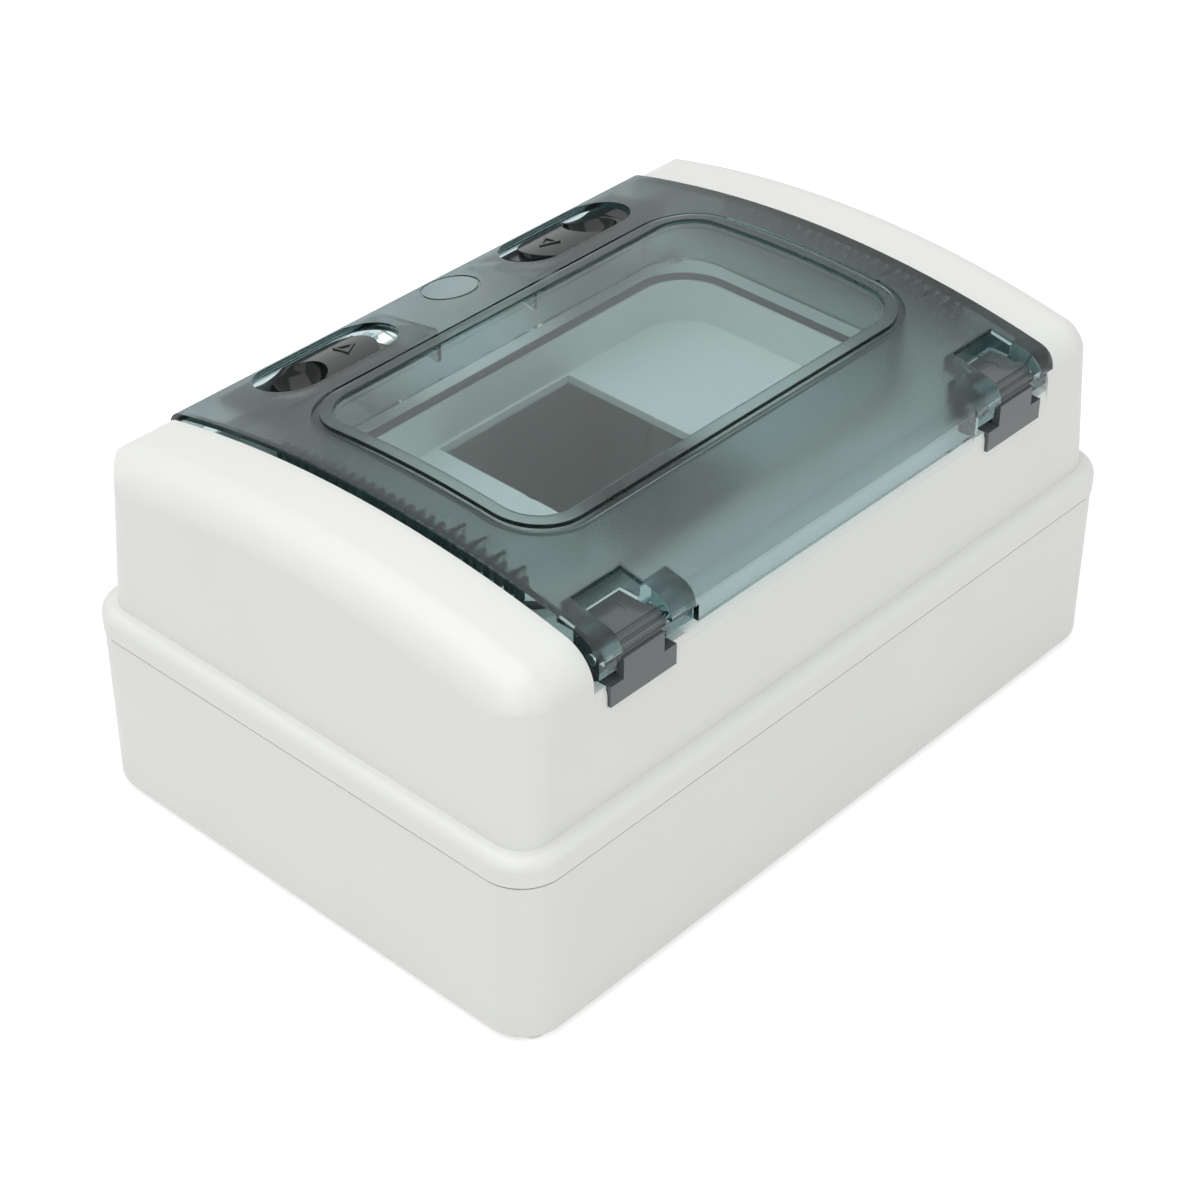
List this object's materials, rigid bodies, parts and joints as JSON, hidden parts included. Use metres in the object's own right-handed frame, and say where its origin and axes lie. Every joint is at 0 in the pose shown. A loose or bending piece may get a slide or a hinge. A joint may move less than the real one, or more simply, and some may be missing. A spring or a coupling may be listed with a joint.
{
  "type": "hinged wall enclosure",
  "caption": "Weatherproof plastic distribution enclosure on its back, with an arched tinted see-through door, slide latches, a sealed cover and a module well over a rail.",
  "frame": {"origin": "middle of the bounding box at the foot of the base, where it meets the wall or table", "axes": "+X along the long side, +Y from the hinge side to the latch side, +Z out of the wall through the door"},
  "size_m": [0.21, 0.141, 0.101],
  "materials": {
    "base_housing": "satin moulded polycarbonate",
    "cover_gasket": "matt",
    "front_cover": "satin moulded polycarbonate",
    "well_seal": "matt",
    "cover_screws": "zinc plated",
    "screw_washers": "matt",
    "door": "tinted see-through polycarbonate",
    "hinge_block_a": "dark satin",
    "hinge_block_b": "dark satin",
    "hinge_pin_a": "drawn",
    "hinge_pin_b": "drawn",
    "latch_slider_a": "dark satin",
    "latch_slider_b": "dark satin",
    "din_rail": "zinc plated",
    "rail_screws": "zinc plated",
    "neutral_bar": "drawn",
    "neutral_holder": "satin",
    "neutral_screws": "zinc plated",
    "earth_bar": "drawn",
    "earth_holder": "satin",
    "earth_screws": "zinc plated",
    "holder_screws": "zinc plated"
  },
  "bodies": {
    "enclosure": {"base_housing": "base_housing", "cover_gasket": "cover_gasket", "front_cover": "front_cover", "well_seal": "well_seal", "cover_screws": "cover_screws", "screw_washers": "screw_washers", "hinge_block_a": "hinge_block_a", "hinge_block_b": "hinge_block_b", "din_rail": "din_rail", "rail_screws": "rail_screws", "neutral_bar": "neutral_bar", "neutral_holder": "neutral_holder", "neutral_screws": "neutral_screws", "earth_bar": "earth_bar", "earth_holder": "earth_holder", "earth_screws": "earth_screws", "holder_screws": "holder_screws"},
    "door": {"door": "door", "hinge_pin_a": "hinge_pin_a", "hinge_pin_b": "hinge_pin_b"},
    "latch_a": {"latch_slider_a": "latch_slider_a"},
    "latch_b": {"latch_slider_b": "latch_slider_b"}
  },
  "joints": [
    {"name": "door_hinge", "type": "hinge", "parent": "enclosure", "child": "door", "pos_m": [0, -0.06248, 0.0875], "axis": [1, 0, 0], "range_deg": [0, 100]},
    {"name": "latch_slide_a", "type": "slide", "parent": "door", "child": "latch_a", "axis": [1, 0, 0], "range_m": [0, 0.006]},
    {"name": "latch_slide_b", "type": "slide", "parent": "door", "child": "latch_b", "axis": [-1, 0, 0], "range_m": [0, 0.006]}
  ]
}
